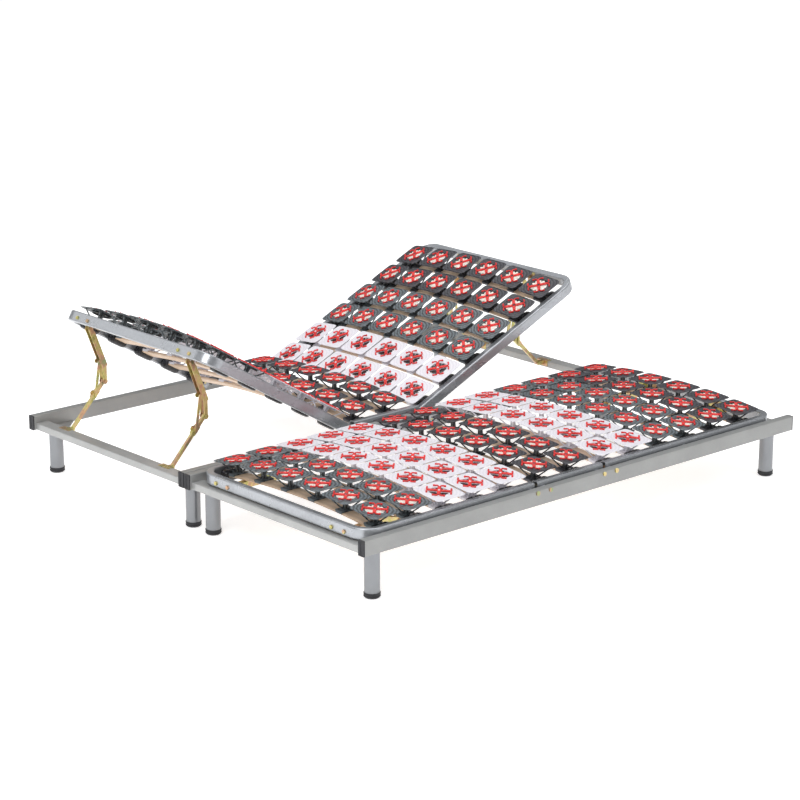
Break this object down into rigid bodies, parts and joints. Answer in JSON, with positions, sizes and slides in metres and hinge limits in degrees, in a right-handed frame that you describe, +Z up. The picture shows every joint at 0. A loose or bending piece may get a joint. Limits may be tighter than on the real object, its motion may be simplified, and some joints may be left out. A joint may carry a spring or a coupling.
{
  "type": "adjustable bed base",
  "caption": "Twin adjustable bed base: two steel frames on round legs with hinged back and leg sections, bowed wooden slats, pad modules and folding ratchet lifters",
  "frame": {"origin": "middle of the two bases' footprint, on the floor", "axes": "+Z up, +Y towards the head end, +X towards the base drawn flat"},
  "size_m": [1.812, 2, 0.6052],
  "materials": {
    "silver_paint": "satin",
    "bright_zinc": "semi-gloss",
    "yellow_zinc": "semi-gloss",
    "beech": "satin",
    "black_plastic": "gloss",
    "black_rubber": "matte",
    "white_plastic": "satin",
    "grey_plastic": "satin",
    "red_plastic": "satin"
  },
  "bodies": {
    "base": {"side_rails": "silver_paint", "cross_rails": "silver_paint", "corner_plates": "silver_paint", "rail_end_caps": "black_rubber", "legs": "silver_paint", "leg_feet": "black_rubber", "pivot_bolts": "yellow_zinc", "pivot_spacers": "bright_zinc", "frame_bolts": "yellow_zinc", "lifter_base_brackets": "yellow_zinc", "seat_rails": "bright_zinc", "seat_slats": "beech", "seat_slat_holders": "black_plastic", "seat_pads": "black_plastic", "seat_pad_inserts": "red_plastic"},
    "left_back": {"left_back_frame": "bright_zinc", "left_back_slats": "beech", "left_back_slat_holders": "black_plastic", "left_back_pads_white": "white_plastic", "left_back_pads_grey": "grey_plastic", "left_back_pads_black": "black_plastic", "left_back_pad_inserts": "red_plastic", "left_back_brackets": "yellow_zinc"},
    "left_back_lower_arms": {"left_back_lower_arms": "yellow_zinc"},
    "left_back_upper_arms": {"left_back_upper_arms": "yellow_zinc"},
    "left_back_ratchet_links": {"left_back_ratchet_links": "yellow_zinc"},
    "left_leg": {"left_leg_frame": "bright_zinc", "left_leg_slats": "beech", "left_leg_slat_holders": "black_plastic", "left_leg_pads_white": "white_plastic", "left_leg_pads_grey": "grey_plastic", "left_leg_pad_inserts": "red_plastic", "left_leg_brackets": "yellow_zinc"},
    "left_leg_lower_arms": {"left_leg_lower_arms": "yellow_zinc"},
    "left_leg_upper_arms": {"left_leg_upper_arms": "yellow_zinc"},
    "left_leg_ratchet_links": {"left_leg_ratchet_links": "yellow_zinc"},
    "right_back": {"right_back_frame": "bright_zinc", "right_back_slats": "beech", "right_back_slat_holders": "black_plastic", "right_back_pads_white": "white_plastic", "right_back_pads_grey": "grey_plastic", "right_back_pads_black": "black_plastic", "right_back_pad_inserts": "red_plastic", "right_back_brackets": "yellow_zinc"},
    "right_back_lower_arms": {"right_back_lower_arms": "yellow_zinc"},
    "right_back_upper_arms": {"right_back_upper_arms": "yellow_zinc"},
    "right_back_ratchet_links": {"right_back_ratchet_links": "yellow_zinc"},
    "right_leg": {"right_leg_frame": "bright_zinc", "right_leg_slats": "beech", "right_leg_slat_holders": "black_plastic", "right_leg_pads_white": "white_plastic", "right_leg_pads_grey": "grey_plastic", "right_leg_pad_inserts": "red_plastic", "right_leg_brackets": "yellow_zinc"},
    "right_leg_lower_arms": {"right_leg_lower_arms": "yellow_zinc"},
    "right_leg_upper_arms": {"right_leg_upper_arms": "yellow_zinc"},
    "right_leg_ratchet_links": {"right_leg_ratchet_links": "yellow_zinc"}
  },
  "joints": [
    {"name": "left_back_hinge", "type": "hinge", "parent": "base", "child": "left_back", "pos_m": [-0.452, 0.103, 0.203], "axis": [1, 0, 0], "range_deg": [-24, 0]},
    {"name": "left_back_lower_arm_hinge", "type": "hinge", "parent": "base", "child": "left_back_lower_arms", "pos_m": [-0.452, 0.905, 0.18], "axis": [-1, 0, 0], "range_deg": [-43.99, 0]},
    {"name": "left_back_upper_arm_hinge", "type": "hinge", "parent": "left_back", "child": "left_back_upper_arms", "pos_m": [-0.452, 0.84187, 0.50789], "axis": [1, 0, 0], "range_deg": [-41.2, 0]},
    {"name": "left_back_ratchet_link_hinge", "type": "hinge", "parent": "left_back_upper_arms", "child": "left_back_ratchet_links", "pos_m": [-0.452, 0.78927, 0.39339], "axis": [1, 0, 0], "range_deg": [-29.26, 0]},
    {"name": "left_leg_hinge", "type": "hinge", "parent": "base", "child": "left_leg", "pos_m": [-0.452, -0.261, 0.203], "axis": [-1, 0, 0], "range_deg": [-31, 0]},
    {"name": "left_leg_lower_arm_hinge", "type": "hinge", "parent": "base", "child": "left_leg_lower_arms", "pos_m": [-0.452, -0.928, 0.18], "axis": [1, 0, 0], "range_deg": [-46.8, 0]},
    {"name": "left_leg_upper_arm_hinge", "type": "hinge", "parent": "left_leg", "child": "left_leg_upper_arms", "pos_m": [-0.452, -0.84149, 0.52613], "axis": [-1, 0, 0], "range_deg": [-43.39, 0]},
    {"name": "left_leg_ratchet_link_hinge", "type": "hinge", "parent": "left_leg_upper_arms", "child": "left_leg_ratchet_links", "pos_m": [-0.452, -0.80787, 0.4047], "axis": [-1, 0, 0], "range_deg": [-24.5, 0]},
    {"name": "right_back_hinge", "type": "hinge", "parent": "base", "child": "right_back", "pos_m": [0.452, 0.103, 0.203], "axis": [1, 0, 0], "range_deg": [0, 24]},
    {"name": "right_back_lower_arm_hinge", "type": "hinge", "parent": "base", "child": "right_back_lower_arms", "pos_m": [0.452, 0.905, 0.18], "axis": [-1, 0, 0], "range_deg": [0, 43.99]},
    {"name": "right_back_upper_arm_hinge", "type": "hinge", "parent": "right_back", "child": "right_back_upper_arms", "pos_m": [0.452, 0.902, 0.181], "axis": [1, 0, 0], "range_deg": [0, 41.2]},
    {"name": "right_back_ratchet_link_hinge", "type": "hinge", "parent": "right_back_upper_arms", "child": "right_back_ratchet_links", "pos_m": [0.452, 0.776, 0.18069], "axis": [1, 0, 0], "range_deg": [0, 29.26]},
    {"name": "right_leg_hinge", "type": "hinge", "parent": "base", "child": "right_leg", "pos_m": [0.452, -0.261, 0.203], "axis": [-1, 0, 0], "range_deg": [0, 31]},
    {"name": "right_leg_lower_arm_hinge", "type": "hinge", "parent": "base", "child": "right_leg_lower_arms", "pos_m": [0.452, -0.928, 0.18], "axis": [1, 0, 0], "range_deg": [0, 46.8]},
    {"name": "right_leg_upper_arm_hinge", "type": "hinge", "parent": "right_leg", "child": "right_leg_upper_arms", "pos_m": [0.452, -0.925, 0.181], "axis": [-1, 0, 0], "range_deg": [0, 43.39]},
    {"name": "right_leg_ratchet_link_hinge", "type": "hinge", "parent": "right_leg_upper_arms", "child": "right_leg_ratchet_links", "pos_m": [0.452, -0.799, 0.18069], "axis": [-1, 0, 0], "range_deg": [0, 24.5]}
  ],
  "couplings": [
    {"joint": "left_back_lower_arm_hinge", "follows": "left_back_hinge", "ratio": 1.8327},
    {"joint": "left_back_upper_arm_hinge", "follows": "left_back_hinge", "ratio": 1.716},
    {"joint": "left_back_ratchet_link_hinge", "follows": "left_back_hinge", "ratio": 1.2187},
    {"joint": "left_leg_lower_arm_hinge", "follows": "left_leg_hinge", "ratio": 1.5094},
    {"joint": "left_leg_upper_arm_hinge", "follows": "left_leg_hinge", "ratio": 1.3995},
    {"joint": "left_leg_ratchet_link_hinge", "follows": "left_leg_hinge", "ratio": 0.79001},
    {"joint": "right_back_lower_arm_hinge", "follows": "right_back_hinge", "ratio": 1.8327},
    {"joint": "right_back_upper_arm_hinge", "follows": "right_back_hinge", "ratio": 1.716},
    {"joint": "right_back_ratchet_link_hinge", "follows": "right_back_hinge", "ratio": 1.2187},
    {"joint": "right_leg_lower_arm_hinge", "follows": "right_leg_hinge", "ratio": 1.5094},
    {"joint": "right_leg_upper_arm_hinge", "follows": "right_leg_hinge", "ratio": 1.3995},
    {"joint": "right_leg_ratchet_link_hinge", "follows": "right_leg_hinge", "ratio": 0.79001}
  ]
}
